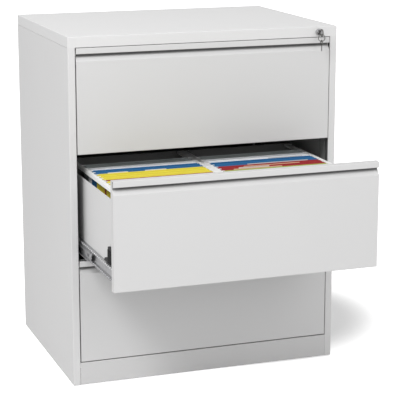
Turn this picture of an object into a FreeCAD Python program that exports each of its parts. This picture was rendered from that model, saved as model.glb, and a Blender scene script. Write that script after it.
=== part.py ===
import FreeCAD, Part

import math
import os
from types import SimpleNamespace

import Sketcher

# Driving dimensions in millimetres. Each becomes a named cell of the document's sheet.
SIZES = {
    # Outside of the cabinet
    "cabinet_width": 800.0,
    "cabinet_depth": 600.0,
    "cabinet_height": 1000.0,
    "floor_gap": 4.0,
    "plinth_top": 70.0,
    "cover_lip": 30.0,
    "cover_seam": 0.8,
    "sheet": 1.0,
    "bend": 2.5,
    "upright_width": 21.0,
    "upright_return": 22.0,
    # How far the middle drawer stands open, and its whole travel
    "drawer_open": 340.0,
    # Posts that carry the slides
    "post_depth": 36.0,
    "post_front": 26.0,
    "post_rear": 536.0,
    "post_head": 62.0,
    "pan_level": 60.0,
    "pan_flange": 50.0,
    # Drawer fronts
    "front_gap": 2.0,
    "front_split": 2.5,
    "front_depth": 20.0,
    "lip_height": 15.5,
    "lip_hem": 2.0,
    "grip_slot": 21.0,
    "grip_depth": 12.0,
    "grip_rise": 15.0,
    # Drawer box
    "side_inset": 42.0,
    "box_floor": 12.0,
    "side_drop": 69.0,
    "side_flange": 12.0,
    "rim_width": 4.0,
    "rim_drop": 6.0,
    "box_depth": 540.0,
    "back_flange": 12.0,
    # Hanging rails
    "rail_drop": 50.0,
    "rail_height": 9.0,
    "rail_width": 12.0,
    "rail_gap": 13.0,
    "centre_rail": 26.0,
    # Ball bearing slides
    "slide_level": 34.0,
    "slide_height": 40.0,
    "slide_sheet": 1.3,
    "slide_reach": 9.5,
    "drawer_reach": 7.0,
    "slide_start": 30.0,
    "slide_length": 520.0,
    "mid_start": 70.0,
    "mid_length": 400.0,
    "mid_width": 14.4,
    "mid_height": 26.4,
    "mid_web": 2.0,
    "ball_radius": 2.5,
    "ball_row": 16.0,
    "ball_girth": 0.70,
    "ball_flat": 0.36,
    "ball_reach": 0.86,
    "cage_pitch": 60.0,
    "strip_pitch": 85.0,
    "cage_sheet": 0.8,
    "cage_width": 6.7,
    "cage_gap": 0.2,
    # Release levers, catches and locking bar
    "lever_length": 110.0,
    "lever_notch": 74.0,
    "lever_height": 46.0,
    "lever_depth": 9.0,
    "lever_level": 58.0,
    "catch_level": 110.0,
    "catch_height": 16.0,
    "catch_depth": 58.0,
    "catch_reach": 13.0,
    "bar_width": 6.0,
    "bar_depth": 12.0,
    "bar_inset": 11.0,
    "bar_start": 40.0,
    "bar_travel": 10.0,
    "lug_height": 15.0,
    "lug_gap": 4.0,
    # Lock
    "lock_inset": 58.0,
    "lock_drop": 16.0,
    "bezel_radius": 9.5,
    "bezel_reach": 9.0,
    "barrel_radius": 8.0,
    "barrel_length": 16.0,
    "plug_radius": 6.0,
    "plug_gap": 0.05,
    "cam_radius": 10.0,
    "cam_pin": 2.2,
    "cam_rim": 2.5,
    "slot_play": 2.6,
    "key_sheet": 2.0,
    "key_blade": 8.0,
    "bow_radius": 11.0,
    "bow_hole": 6.5,
    "ring_radius": 10.0,
    "ring_wire": 0.9,
    # Levelling feet
    "foot_radius": 16.0,
    "foot_inset": 32.0,
    "foot_disc": 3.5,
    "stud_radius": 4.0,
    "stud_gap": 0.1,
    # Folders
    "folder_side_gap": 2.0,
    "folder_drop": 7.0,
    "folder_bar": 2.0,
    "folder_hook": 10.0,
}

CAGE_BALLS = 4
STRIP_BALLS = 6
OUTPUT = "parts"
SIGNIFICANT = 1e-6


class Size:
    """A length that keeps its number and its spreadsheet expression together."""

    def __init__(self, text, value):
        self.text = text
        self.value = value

    def joined(self, sign, other, value):
        other_text = other.text if isinstance(other, Size) else repr(float(other))
        return Size(f"({self.text} {sign} {other_text})", value)

    def __add__(self, other):
        return self.joined("+", other, self.value + number(other))

    def __sub__(self, other):
        return self.joined("-", other, self.value - number(other))

    def __mul__(self, other):
        return self.joined("*", other, self.value * number(other))

    def __truediv__(self, other):
        return self.joined("/", other, self.value / number(other))

    def __neg__(self):
        return Size(f"(-1 * {self.text})", -self.value)


def number(value):
    """Return the plain number behind a Size or a number."""
    return value.value if isinstance(value, Size) else float(value)


def as_size(value):
    """Return value as a Size."""
    return value if isinstance(value, Size) else Size(repr(float(value)), float(value))


doc = FreeCAD.newDocument("hanging_file_cabinet")
cells = doc.addObject("Spreadsheet::Sheet", "Sizes")
for row, (alias, value) in enumerate(SIZES.items(), start=1):
    cells.set(f"A{row}", alias.replace("_", " "))
    cells.set(f"B{row}", str(value))
    cells.setAlias(f"B{row}", alias)
doc.recompute()

s = SimpleNamespace(**{alias: Size(f"Sizes.{alias}", value) for alias, value in SIZES.items()})
ZERO = as_size(0)
nodes = []


# Helpers that bind geometry to the sheet

def bind(target, path, value):
    """Bind one property of a document object to a Size."""
    target.setExpression(path, as_size(value).text)


def box(name, x, y, z):
    """Make a box from a (low, high) pair along each axis."""
    part = doc.addObject("Part::Box", name)
    for size_name, axis, (low, high) in zip(("Length", "Width", "Height"), "xyz", (x, y, z)):
        bind(part, size_name, as_size(high) - low)
        bind(part, f"Placement.Base.{axis}", low)
    return part


def cylinder(name, radius, start, length, axis="z"):
    """Make a cylinder that starts at a point and runs along an axis."""
    part = doc.addObject("Part::Cylinder", name)
    bind(part, "Radius", radius)
    bind(part, "Height", length)
    turns = {"x": ((0, 1, 0), 90), "y": ((1, 0, 0), -90), "z": ((0, 0, 1), 0)}
    direction, angle = turns[axis]
    part.Placement.Rotation = FreeCAD.Rotation(FreeCAD.Vector(*direction), angle)
    for letter, value in zip("xyz", start):
        bind(part, f"Placement.Base.{letter}", value)
    return part


def fuse(name, parts):
    """Join parts into one solid."""
    joined = doc.addObject("Part::MultiFuse", name)
    joined.Shapes = parts
    joined.Refine = True
    return joined


def cut(name, base, tools):
    """Take tools away from base."""
    result = doc.addObject("Part::Cut", name)
    result.Base = base
    result.Tool = tools[0] if len(tools) == 1 else fuse(name + "_tools", tools)
    result.Refine = True
    return result


def outline_body(name, plane, points, span):
    """Pad a closed outline of (u, v) sizes along its plane's axis, from span[0] to span[1]."""
    body = doc.addObject("PartDesign::Body", name)
    sketch = body.newObject("Sketcher::SketchObject", name + "_sketch")
    roles = {feature.Role: feature for feature in body.Origin.OriginFeatures}
    sketch.AttachmentSupport = [(roles[plane + "_Plane"], "")]
    sketch.MapMode = "FlatFace"
    count = len(points)
    flat = [FreeCAD.Vector(number(u), number(v), 0) for u, v in points]
    for index in range(count):
        sketch.addGeometry(Part.LineSegment(flat[index], flat[(index + 1) % count]), False)
    for index in range(count):
        sketch.addConstraint(Sketcher.Constraint("Coincident", index, 2, (index + 1) % count, 1))
    for index, point in enumerate(points):
        for kind, value in zip(("DistanceX", "DistanceY"), point):
            place = sketch.addConstraint(Sketcher.Constraint(kind, -1, 1, index, 1, number(value)))
            bind(sketch, f"Constraints[{place}]", value)
    pad = body.newObject("PartDesign::Pad", name + "_pad")
    pad.Profile = sketch
    pad.Reversed = plane == "XZ"
    low, high = span
    bind(pad, "Length", as_size(high) - low)
    axis = {"XY": "z", "XZ": "y", "YZ": "x"}[plane]
    bind(body, f"Placement.Base.{axis}", low)
    return body


def folded(name, plane, path, span, thickness, bends=None):
    """Pad a folded sheet. The path is its outer face, and the sheet lies on the path's left.

    bends names the radius of the outer bends, which are rounded where it is given.
    """
    steps = []
    for (u0, v0), (u1, v1) in zip(path, path[1:]):
        run, rise = number(u1) - number(u0), number(v1) - number(v0)
        length = math.hypot(run, rise)
        steps.append((-rise / length, run / length))
    inner = []
    for index, (u, v) in enumerate(path):
        before = steps[max(index - 1, 0)]
        after = steps[min(index, len(steps) - 1)]
        share = 1 + before[0] * after[0] + before[1] * after[1]
        shift_u = round((before[0] + after[0]) / share, 9)
        shift_v = round((before[1] + after[1]) / share, 9)
        inner.append((as_size(u) + thickness * shift_u, as_size(v) + thickness * shift_v))
    body = outline_body(name, plane, list(path) + inner[::-1], span)
    if bends is not None:
        corners = list(zip(path[1:-1], inner[1:-1], zip(steps, steps[1:])))
        outer_points = []
        inner_points = []
        for outside, inside, (before, after) in corners:
            turns_left = before[0] * after[1] - before[1] * after[0] > 0
            outer_points.append(outside if turns_left else inside)
            inner_points.append(inside if turns_left else outside)
        round_bends(body, plane, outer_points, number(bends))
        round_bends(body, plane, inner_points, number(bends) - number(thickness))
    return body


def round_bends(body, plane, points, radius):
    """Round the long edges of a pad that run through the given outline points."""
    doc.recompute()
    base = body.Tip
    pick = {"XY": ("x", "y"), "XZ": ("x", "z"), "YZ": ("y", "z")}[plane]
    names = []
    for index, edge in enumerate(base.Shape.Edges, start=1):
        ends = [tuple(getattr(vertex.Point, axis) for axis in pick) for vertex in edge.Vertexes]
        for u, v in points:
            near = [math.hypot(a - number(u), b - number(v)) < SIGNIFICANT for a, b in ends]
            if len(near) == 2 and all(near):
                names.append(f"Edge{index}")
    fillet = body.newObject("PartDesign::Fillet", body.Name + "_bend")
    fillet.Base = (base, names)
    fillet.Radius = radius


def rounded(name, base, radius, wanted):
    """Round the straight edges of base that wanted(middle, direction) accepts."""
    doc.recompute()
    picks = []
    for index, edge in enumerate(base.Shape.Edges, start=1):
        middle = edge.CenterOfMass
        direction = (edge.Vertexes[-1].Point - edge.Vertexes[0].Point).normalize()
        if wanted(middle, direction):
            picks.append((index, number(radius), number(radius)))
    fillet = doc.addObject("Part::Fillet", name)
    fillet.Base = base
    fillet.Edges = picks
    return fillet


def pair(name, sources):
    """Return the sources as one group together with their mirror image in the middle plane."""
    group = doc.addObject("Part::Compound", name + "_left")
    group.Links = sources
    twin = doc.addObject("Part::Mirroring", name + "_right")
    twin.Source = group
    twin.Normal = FreeCAD.Vector(1, 0, 0)
    return [group, twin]


def node(label, sources, y=ZERO, z=ZERO):
    """Make one named piece of the cabinet from its solids."""
    piece = doc.addObject("Part::Compound", "node_" + label)
    piece.Label = label
    piece.Links = sources
    bind(piece, "Placement.Base.y", y)
    bind(piece, "Placement.Base.z", z)
    nodes.append(piece)
    return piece


# Places worked out from the driving dimensions. Every piece is built with the cabinet's
# front plane at y = 0, and the nodes carry it to its place about the origin.

half = s.cabinet_width / 2
front_plane = -(s.cabinet_depth - s.drawer_open) / 2
opening = half - s.upright_width
lip_level = s.cabinet_height - s.cover_lip
side_x = half - s.side_inset
front_half = opening - s.front_gap
pitch = (s.cabinet_height - s.cover_lip - s.plinth_top) / 3
rail_level = pitch - s.rail_drop
side_height = pitch - s.side_drop - s.box_floor
rail_outer = side_x - s.rail_gap
column_half = (rail_outer - s.rail_width - s.centre_rail / 2) / 2
zones = [("bottom", ZERO), ("middle", pitch), ("top", pitch * 2)]
opened = {"bottom": ZERO, "middle": s.drawer_open, "top": ZERO}
web_x = opening
lock_x = half - s.lock_inset
lock_z = s.cabinet_height - s.lock_drop
bar_x = opening + s.bar_inset - s.bar_width
bar_y = s.bar_start
lug_level = s.catch_level + s.catch_height + s.lug_gap
pan_top = s.pan_level + s.sheet
post_top = s.cabinet_height - s.post_head


# Carcass

def make_top_cover():
    """Cover folded down on all four sides. Its front lip is the top rail and holds the lock."""
    def upper_edge(middle, direction):
        return abs(direction.z) > 0.5 or middle.z > number(s.cabinet_height) - 1

    t = s.sheet
    outer = box("cover_outer", (-half, half), (ZERO, s.cabinet_depth), (lip_level, s.cabinet_height))
    inner = box(
        "cover_inner",
        (-half + t, half - t),
        (t, s.cabinet_depth - t),
        (lip_level - t, s.cabinet_height - t),
    )
    shell = cut("cover_shell", rounded("cover_round", outer, s.bend, upper_edge), [inner])
    flange = box(
        "cover_flange", (-opening, opening), (t / 2, s.upright_return), (lip_level, lip_level + t)
    )
    hole = cylinder("lock_hole", s.barrel_radius + 0.1, (lock_x, -t, lock_z), t * 3, "y")
    node("top_cover", [cut("cover", fuse("cover_blank", [shell, flange]), [hole])], front_plane)


def make_side_panels():
    """Side sheets folded round the front uprights, with a tongue up inside the cover."""
    t = s.sheet
    path = [
        (-opening, s.upright_return),
        (-opening, ZERO),
        (-half, ZERO),
        (-half, s.cabinet_depth - t),
        (-half + s.upright_width, s.cabinet_depth - t),
    ]
    skin = folded("side_skin", "XY", path[::-1], (s.floor_gap, lip_level), t, s.bend)
    seam = box(
        "side_seam",
        (-half - t, -half + t * 2),
        (s.bend + t, s.cabinet_depth),
        (lip_level - s.cover_seam, lip_level + t),
    )
    tongue = box(
        "side_tongue",
        (-half + t, -half + t * 2),
        (s.upright_return, s.cabinet_depth - s.upright_return),
        (lip_level - s.cover_lip, s.cabinet_height - s.bend - t),
    )
    panel = fuse("side_panel", [cut("side_sheet", skin, [seam]), tongue])
    left, right = pair("side_panel_sheet", [panel])
    node("side_panel_left", [left], front_plane)
    node("side_panel_right", [right], front_plane)


def make_back_and_base():
    """Back panel, bottom pan with turned-down flanges, and the plinth front."""
    t = s.sheet
    back = box(
        "back_sheet",
        (-half, half),
        (s.cabinet_depth - t, s.cabinet_depth),
        (s.floor_gap, lip_level - s.cover_seam),
    )
    node("back_panel", [back], front_plane)
    side_in = half - t
    pan_path = [
        (side_in, s.pan_level - s.pan_flange),
        (side_in, pan_top),
        (-side_in, pan_top),
        (-side_in, s.pan_level - s.pan_flange),
    ]
    rear_in = s.cabinet_depth - t - s.bend
    pan = folded("pan", "XZ", pan_path, (s.upright_return, rear_in), t)
    node("bottom_pan", [pan], front_plane)
    plinth_path = [
        (s.upright_return, s.plinth_top),
        (ZERO, s.plinth_top),
        (ZERO, s.floor_gap),
        (s.upright_return, s.floor_gap),
    ]
    plinth = folded("plinth", "YZ", plinth_path, (-opening, opening), t, s.bend)
    node("plinth_front", [plinth], front_plane)


def post_path(start):
    """Outer path of a post: a channel that opens towards the side panel."""
    outer = -half + s.sheet
    return [
        (outer, as_size(start) + s.post_depth),
        (-opening, as_size(start) + s.post_depth),
        (-opening, start),
        (outer, start),
    ]


def make_posts():
    """Front and rear posts. The right front post has slots for the locking bar's lugs."""
    t = s.sheet
    front = folded("post_front_left", "XY", post_path(s.post_front)[::-1], (pan_top, post_top), t)
    left, right = pair("post_front", [front])
    slots = []
    for name, level in zones:
        low = s.plinth_top + level + lug_level - s.bar_travel - 2
        slots.append(
            box(
                f"lug_slot_{name}",
                (opening - t, opening + t * 2),
                (bar_y - 2, bar_y + s.bar_depth + 2),
                (low, low + s.lug_height + s.bar_travel + 4),
            )
        )
    node("front_posts", [left, cut("post_front_slotted", right, slots)], front_plane)
    rear = folded("post_rear", "XY", post_path(s.post_rear)[::-1], (pan_top, post_top), t)
    node("rear_posts", pair("post_rear_pair", [rear]), front_plane)


def make_feet():
    """Levelling feet, each a disc on a threaded stud in a bracket under the pan."""
    x = -half + s.foot_inset
    bracket_half = s.foot_inset - s.sheet * 2
    bracket_top = s.pan_level
    plate_low = s.pan_level - s.cover_lip
    feet = []
    brackets = []
    for name, y in (("front", s.foot_inset + s.sheet), ("rear", s.cabinet_depth - s.foot_inset)):
        disc = cylinder(f"foot_disc_{name}", s.foot_radius, (x, y, ZERO), s.foot_disc)
        stud = cylinder(f"foot_stud_{name}", s.stud_radius, (x, y, ZERO), plate_low + s.floor_gap * 3)
        feet.append(fuse(f"foot_{name}", [disc, stud]))
        plate = box(
            f"foot_plate_{name}",
            (x - bracket_half, x + bracket_half),
            (y - s.foot_radius / 2, y + s.foot_radius / 2),
            (plate_low, plate_low + s.sheet * 2),
        )
        legs = [
            box(
                f"foot_leg_{name}_{side}",
                (left, left + s.sheet * 2),
                (y - s.foot_radius / 2, y + s.foot_radius / 2),
                (plate_low, bracket_top),
            )
            for side, left in (("out", x - bracket_half), ("in", x + bracket_half - s.sheet * 2))
        ]
        hole = cylinder(
            f"foot_hole_{name}",
            s.stud_radius + s.stud_gap,
            (x, y, plate_low - s.sheet),
            s.sheet * 4,
        )
        brackets.append(cut(f"foot_bracket_{name}", fuse(f"foot_u_{name}", [plate] + legs), [hole]))
    node("levelling_feet", pair("feet", feet), front_plane)
    node("foot_brackets", pair("brackets", brackets), front_plane)


# Ball bearing slides, drawn at the left side about the level of their own middle

def slide_z(level):
    """Height above a drawer zone's floor of a place on the slide."""
    return s.slide_level + level


def channel(name, web, tip, span):
    """Cold-rolled channel with a ball race in each flange."""
    high = s.slide_height / 2
    path = [(tip, slide_z(high)), (web, slide_z(high)), (web, slide_z(-high)), (tip, slide_z(-high))]
    if number(tip) < number(web):
        path = path[::-1]
    return folded(name, "XZ", path, span, s.slide_sheet)


def ball(name, x, y, z):
    """A bearing ball with few faces: two blunt pyramids base to base, corners on the sphere."""
    girth = s.ball_radius * number(s.ball_girth)
    flat = s.ball_radius * number(s.ball_flat)
    reach = s.ball_radius * number(s.ball_reach)
    halves = []
    for side, end in (("upper", reach), ("lower", -reach)):
        half_ball = doc.addObject("Part::Wedge", f"{name}_{side}")
        for low, high, value in (("Xmin", "Xmax", girth), ("Zmin", "Zmax", girth)):
            bind(half_ball, low, -value)
            bind(half_ball, high, value)
        for low, high in (("X2min", "X2max"), ("Z2min", "Z2max")):
            bind(half_ball, low, -flat)
            bind(half_ball, high, flat)
        bind(half_ball, "Ymin", ZERO)
        bind(half_ball, "Ymax", reach)
        turn = 90 if number(end) > 0 else -90
        half_ball.Placement.Rotation = FreeCAD.Rotation(FreeCAD.Vector(1, 0, 0), turn)
        for letter, value in zip("xyz", (x, y, z)):
            bind(half_ball, f"Placement.Base.{letter}", value)
        halves.append(half_ball)
    return fuse(name, halves)


def ball_strip(name, web, direction, span):
    """Thin channel that holds two rows of balls. The path runs from lip to lip."""
    row = s.ball_row
    t = s.cage_sheet
    tip = web + s.cage_width * direction
    path = [
        (tip, slide_z(row) + t / 2),
        (web, slide_z(row) + t / 2),
        (web, slide_z(-row) - t / 2),
        (tip, slide_z(-row) - t / 2),
    ]
    if direction < 0:
        path = path[::-1]
    return folded(name, "XZ", path, span, t)


def cage(name, web, direction, span, count, spacing):
    """Ball cage: a strip with a pocket for each ball, and a loose ball in each pocket."""
    row = s.ball_row
    t = s.cage_sheet
    strip = ball_strip(name, web, direction, span)
    ball_x = web + (s.cage_width - s.ball_radius) * direction
    room = s.ball_radius + s.stud_gap
    pockets = []
    balls = []
    for index in range(count):
        y = span[0] + spacing * (index + 0.5)
        pockets.append(
            box(
                f"{name}_pocket_{index}",
                (ball_x - room, ball_x + room),
                (y - room, y + room),
                (slide_z(-row) - t, slide_z(row) + t),
            )
        )
        balls.append(ball(f"{name}_ball_top_{index}", ball_x, y, slide_z(row)))
        balls.append(ball(f"{name}_ball_low_{index}", ball_x, y, slide_z(-row)))
    return [cut(name + "_sheet", strip, pockets)] + balls


def make_cabinet_slide():
    """Slide member fixed to the posts."""
    end = s.slide_start + s.slide_length
    return channel("cabinet_member", -web_x, -web_x + s.slide_reach, (s.slide_start, end))


def make_drawer_slide():
    """Slide member fixed to the drawer side."""
    start = s.front_depth + s.sheet * 2
    return channel("drawer_member", -side_x, -side_x - s.drawer_reach, (start, start + s.slide_length))


def make_slide_mid():
    """Intermediate member: two flanges on a web, with a slanted nose and a slot."""
    middle = -(web_x + side_x) / 2
    wide = s.mid_width / 2
    web = s.mid_web / 2
    high = s.mid_height / 2
    low = high - s.slide_sheet
    quarter = [(wide, high), (wide, low), (web, low)]
    right = quarter + [(u, -v) for u, v in quarter[::-1]]
    points = right + [(-u, v) for u, v in right[::-1]]
    points = [(middle + u, slide_z(v)) for u, v in points]
    start = s.mid_start
    beam = outline_body("mid_member", "XZ", points, (start, start + s.mid_length))
    nose = outline_body(
        "mid_nose",
        "YZ",
        [
            (start - 1, slide_z(high + 1)),
            (start - 1, slide_z(-high - 1)),
            (start + s.mid_width, slide_z(-high - 1)),
        ],
        (middle - s.mid_width, middle + s.mid_width),
    )
    slot_y = start + s.mid_width * 2
    slot = box(
        "mid_slot",
        (middle - s.mid_web, middle + s.mid_web),
        (slot_y, slot_y + s.mid_width),
        (slide_z(-s.mid_web * 2), slide_z(s.mid_web * 2)),
    )
    return cut("mid_beam", beam, [nose, slot])


# Drawer pieces

front_low = s.front_split / 2
front_high = pitch - s.front_split / 2


def make_front_skin():
    """Front sheet with its full-width grip: a hemmed lip over a slanted finger recess."""
    t = s.sheet
    lip_low = front_high - s.lip_height
    edge = lip_low - s.grip_slot
    recess = edge + s.grip_rise
    slope = math.hypot(number(s.grip_depth), number(s.grip_rise))
    drop = round((slope - number(s.grip_rise)) / number(s.grip_depth), 6)
    points = [
        (s.front_depth, front_low),
        (ZERO, front_low),
        (ZERO, edge),
        (s.grip_depth, recess),
        (s.grip_depth, front_high - t),
        (s.lip_hem, front_high - t),
        (s.lip_hem, lip_low),
        (ZERO, lip_low),
        (ZERO, front_high),
        (s.grip_depth + t, front_high),
        (s.grip_depth + t, recess - t * drop),
        (t, edge - t * drop),
        (t, front_low + t),
        (s.front_depth, front_low + t),
    ]
    skin = outline_body("front_profile", "YZ", points, (-front_half, front_half))
    round_bends(skin, "YZ", [(ZERO, edge), (ZERO, front_low), (ZERO, front_high)], number(s.bend) - 1)
    end_points = [
        (t, front_low + t),
        (t, edge - t * drop),
        (s.grip_depth + t, recess - t * drop),
        (s.grip_depth + t, front_high - t),
        (s.front_depth - t, front_high - t),
        (s.front_depth - t, front_low + t),
    ]
    ends = [
        outline_body("front_end_left", "YZ", end_points, (-front_half, -front_half + t)),
        outline_body("front_end_right", "YZ", end_points, (front_half - t, front_half)),
    ]
    return fuse("front_skin", [skin] + ends)


def make_front_liner():
    """Inner sheet that closes the back of the drawer front."""
    t = s.sheet
    path = [
        (s.grip_depth + t, front_high),
        (s.front_depth, front_high),
        (s.front_depth, front_low + t),
    ]
    return folded("front_liner", "YZ", path[::-1], (-front_half, front_half), t)


def make_drawer_side():
    """Drawer side with a turned-in foot and a hemmed rim."""
    low = s.box_floor
    high = s.box_floor + side_height
    path = [
        (-side_x + s.side_flange, low),
        (-side_x, low),
        (-side_x, high),
        (-side_x + s.rim_width, high),
        (-side_x + s.rim_width, high - s.rim_drop),
    ]
    end = s.front_depth + s.box_depth - s.sheet
    return folded("drawer_side", "XZ", path[::-1], (s.front_depth, end), s.sheet)


def make_drawer_tray():
    """Floor and back wall folded from one sheet."""
    t = s.sheet
    end = s.front_depth + s.box_depth
    path = [
        (s.front_depth, s.box_floor + t),
        (end, s.box_floor + t),
        (end, rail_level),
        (end - s.back_flange, rail_level),
    ]
    inner = side_x - t
    return folded("drawer_tray", "YZ", path, (-inner, inner), t)


def make_rails():
    """Three hanging rails: inverted channels from the front liner to the back wall."""
    t = s.slide_sheet
    start = s.front_depth
    end = s.front_depth + s.box_depth - s.sheet
    top = rail_level - s.sheet
    bottom = top - s.rail_height

    def rail(name, left, right):
        path = [(left, bottom), (left, top), (right, top), (right, bottom)]
        return folded(name, "XZ", path[::-1], (start, end), t)

    side = rail("rail_left", -rail_outer, -rail_outer + s.rail_width)
    right = rail("rail_right", rail_outer - s.rail_width, rail_outer)
    centre = rail("rail_centre", -s.centre_rail / 2, s.centre_rail / 2)
    return [side, centre, right]


def make_lever():
    """Moulded release lever on the drawer side, above the slide."""
    start = s.front_depth + s.sheet * 2
    low = s.lever_level
    high = low + s.lever_height
    end = start + s.lever_length
    notch = s.lever_notch
    points = [
        (start, low),
        (end, low),
        (end - s.lever_depth, low + s.lever_depth),
        (start + notch, low + s.lever_depth * 1.4),
        (start + notch * 0.8, high),
        (start, high - s.lever_depth * 0.6),
    ]
    return outline_body("release_lever", "YZ", points, (-side_x - s.lever_depth, -side_x))


def make_catch():
    """Catch on the right side of the drawer, held by a lug of the locking bar."""
    low = s.catch_level
    t = s.sheet * 2
    path = [
        (side_x, s.catch_depth + s.lever_depth * 2),
        (side_x, s.catch_depth),
        (side_x + s.catch_reach, s.catch_depth),
    ]
    return folded("lock_catch", "XY", path[::-1], (low, low + s.catch_height), -t)


# Lock, key and locking bar

def make_lock():
    """Cylinder lock in the top rail with its nut."""
    length = s.bezel_reach + s.barrel_length
    bezel = cylinder("lock_bezel", s.bezel_radius, (lock_x, -s.bezel_reach, lock_z), s.bezel_reach, "y")
    barrel = cylinder("lock_barrel", s.barrel_radius, (lock_x, -s.bezel_reach, lock_z), length, "y")
    bore = cylinder(
        "lock_bore",
        s.plug_radius + s.plug_gap,
        (lock_x, -s.bezel_reach - s.sheet, lock_z),
        length + s.sheet * 2,
        "y",
    )
    node("lock_housing", [cut("housing", fuse("housing_blank", [bezel, barrel]), [bore])], front_plane)

    nut = doc.addObject("Part::Prism", "nut_blank")
    nut.Polygon = 6
    bind(nut, "Circumradius", s.barrel_radius * 1.5)
    bind(nut, "Height", s.sheet * 5)
    nut.Placement.Rotation = FreeCAD.Rotation(FreeCAD.Vector(1, 0, 0), -90)
    bind(nut, "Placement.Base.x", lock_x)
    bind(nut, "Placement.Base.y", s.sheet)
    bind(nut, "Placement.Base.z", lock_z)
    hole = cylinder("nut_hole", s.barrel_radius, (lock_x, ZERO, lock_z), s.sheet * 8, "y")
    node("lock_nut", [cut("nut", nut, [hole])], front_plane)

    plug_end = s.barrel_length + s.sheet * 2
    plug = cylinder(
        "plug_blank",
        s.plug_radius,
        (lock_x, -s.bezel_reach - s.sheet / 2, lock_z),
        s.bezel_reach + s.sheet / 2 + plug_end,
        "y",
    )
    gap = s.cage_gap
    keyway = box(
        "keyway",
        (lock_x - s.key_sheet / 2 - gap, lock_x + s.key_sheet / 2 + gap),
        (-s.bezel_reach - s.sheet, s.barrel_length - s.sheet * 3),
        (lock_z - s.key_blade / 2 - gap, lock_z + s.key_blade / 2 + gap),
    )
    node("lock_plug", [cut("plug", plug, [keyway])], front_plane)

    disc = cylinder("cam_disc", s.cam_radius + s.cam_rim, (lock_x, plug_end, lock_z), s.key_sheet, "y")
    pin = cylinder(
        "cam_pin_solid",
        s.cam_pin,
        (lock_x - s.cam_radius, plug_end, lock_z),
        s.key_sheet * 4,
        "y",
    )
    node("lock_cam", [fuse("cam", [disc, pin])], front_plane)


def make_locking_bar():
    """Bar with a slotted head at the lock and a lug for each drawer."""
    head_y = s.upright_return + s.sheet / 2
    low = pan_top + s.bar_travel + s.lug_gap
    head_low = lock_z - s.cam_radius
    head_high = lock_z + s.cam_radius
    bar = box("bar_body", (bar_x, bar_x + s.bar_width), (bar_y, bar_y + s.bar_depth), (low, head_high))
    arm_x = (lock_x - s.cam_radius - s.cam_pin * 3, bar_x + s.bar_width)
    arm = box("bar_arm", arm_x, (head_y, head_y + s.key_sheet), (head_low, head_high))
    step = box(
        "bar_step",
        (bar_x, bar_x + s.bar_width),
        (head_y, bar_y + s.bar_depth / 2),
        (head_low, head_high),
    )
    play = s.cam_pin + s.slot_play
    slot = box(
        "bar_slot",
        (lock_x - s.cam_radius - s.cam_pin * 1.5, lock_x + s.cam_pin * 1.5),
        (head_y - s.sheet, head_y + s.key_sheet * 2),
        (lock_z - play, lock_z + play),
    )
    lugs = []
    for name, level in zones:
        base = s.plinth_top + level + lug_level
        lugs.append(
            box(
                f"bar_lug_{name}",
                (side_x + s.catch_reach / 2, bar_x + s.bar_width / 2),
                (bar_y, bar_y + s.bar_depth),
                (base, base + s.lug_height),
            )
        )
    node("locking_bar", [cut("bar", fuse("bar_blank", [bar, step, arm] + lugs), [slot])], front_plane)

    guides = []
    for index, share in enumerate((0.26, 0.56, 0.86)):
        level = s.cabinet_height * share
        plate = box(
            f"guide_plate_{index}",
            (opening + s.sheet, half - s.sheet),
            (s.post_front + s.sheet, s.post_front + s.post_depth - s.sheet),
            (level, level + s.key_sheet),
        )
        hole = box(
            f"guide_hole_{index}",
            (bar_x - s.stud_gap * 3, bar_x + s.bar_width + s.stud_gap * 3),
            (bar_y - s.stud_gap * 3, bar_y + s.bar_depth + s.stud_gap * 3),
            (level - s.sheet, level + s.key_sheet + s.sheet),
        )
        guides.append(cut(f"guide_{index}", plate, [hole]))
    node("bar_guides", guides, front_plane)


def make_keys():
    """Key in the lock, standing edge-on to the front, with the ring that hangs from its bow."""
    bow_y = -s.bezel_reach - s.sheet * 3 - s.bow_radius
    left_face = lock_x - s.key_sheet / 2
    disc = cylinder("key_disc", s.bow_radius, (left_face, bow_y, lock_z), s.key_sheet, "x")
    hole_start = (lock_x - s.key_sheet, bow_y, lock_z)
    hole = cylinder("key_hole", s.bow_hole, hole_start, s.key_sheet * 2, "x")
    blade = box(
        "key_blade_solid",
        (left_face, lock_x + s.key_sheet / 2),
        (bow_y + s.bow_hole + s.sheet, s.barrel_length - s.sheet * 4),
        (lock_z - s.key_blade / 2, lock_z + s.key_blade / 2),
    )
    node("key", [cut("key_solid", fuse("key_blank", [disc, blade]), [hole])], front_plane)

    ring_z = lock_z - s.bow_hole + s.ring_wire * 1.5 + s.stud_gap - s.ring_radius
    ring_start = (lock_x, bow_y - s.ring_wire, ring_z)
    coil = cylinder("ring_coil", s.ring_radius + s.ring_wire, ring_start, s.ring_wire * 2, "y")
    eye = cylinder(
        "ring_eye",
        s.ring_radius - s.ring_wire,
        (lock_x, bow_y - s.ring_wire * 2, ring_z),
        s.ring_wire * 4,
        "y",
    )
    node("key_ring", [cut("ring", coil, [eye])], front_plane)


# Hanging folders in the middle drawer

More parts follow.
